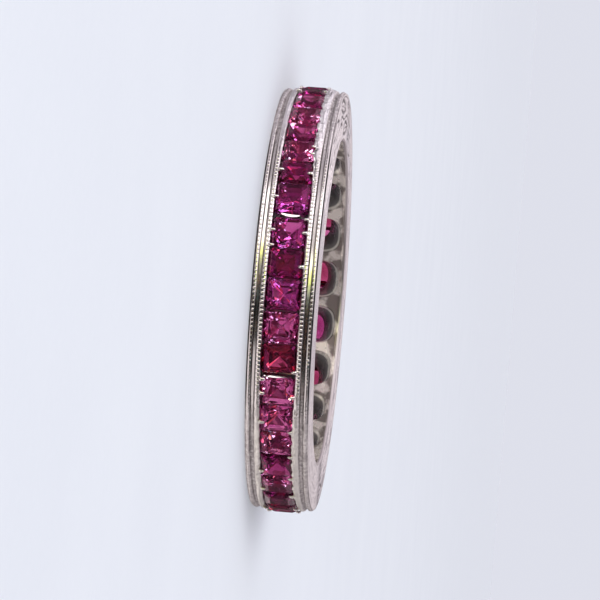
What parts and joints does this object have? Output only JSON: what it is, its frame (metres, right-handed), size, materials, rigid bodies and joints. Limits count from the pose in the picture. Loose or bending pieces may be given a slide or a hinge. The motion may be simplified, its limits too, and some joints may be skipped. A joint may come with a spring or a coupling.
{
  "type": "eternity ring",
  "caption": "Eternity ring: a white metal channel band set with square red stones all the way round, with ribbed rails and a pierced inner wall, worn on a finger.",
  "frame": {"origin": "on the surface the ring lies on, at the ring's axis", "axes": "+Z along the ring's axis, upwards from the side face it lies on; -Y is the side towards the picture's camera, and -X is the picture's upward direction"},
  "size_m": [0.0224, 0.0224, 0.0032],
  "materials": {
    "platinum": "polished and satin white metal, softly worn",
    "ruby": "polished transparent pinkish-red gemstone"
  },
  "bodies": {
    "root": {"band": "platinum", "stone_01": "ruby", "stone_02": "ruby", "stone_03": "ruby", "stone_04": "ruby", "stone_05": "ruby", "stone_06": "ruby", "stone_07": "ruby", "stone_08": "ruby", "stone_09": "ruby", "stone_10": "ruby", "stone_11": "ruby", "stone_12": "ruby", "stone_13": "ruby", "stone_14": "ruby", "stone_15": "ruby", "stone_16": "ruby", "stone_17": "ruby", "stone_18": "ruby", "stone_19": "ruby", "stone_20": "ruby", "stone_21": "ruby", "stone_22": "ruby", "stone_23": "ruby", "stone_24": "ruby", "stone_25": "ruby", "stone_26": "ruby", "stone_27": "ruby", "stone_28": "ruby", "stone_29": "ruby", "stone_30": "ruby", "stone_31": "ruby", "stone_32": "ruby", "stone_33": "ruby", "stone_34": "ruby", "stone_35": "ruby", "stone_36": "ruby", "stone_37": "ruby", "stone_38": "ruby", "stone_39": "ruby", "stone_40": "ruby", "stone_41": "ruby", "stone_42": "ruby"}
  },
  "joints": []
}
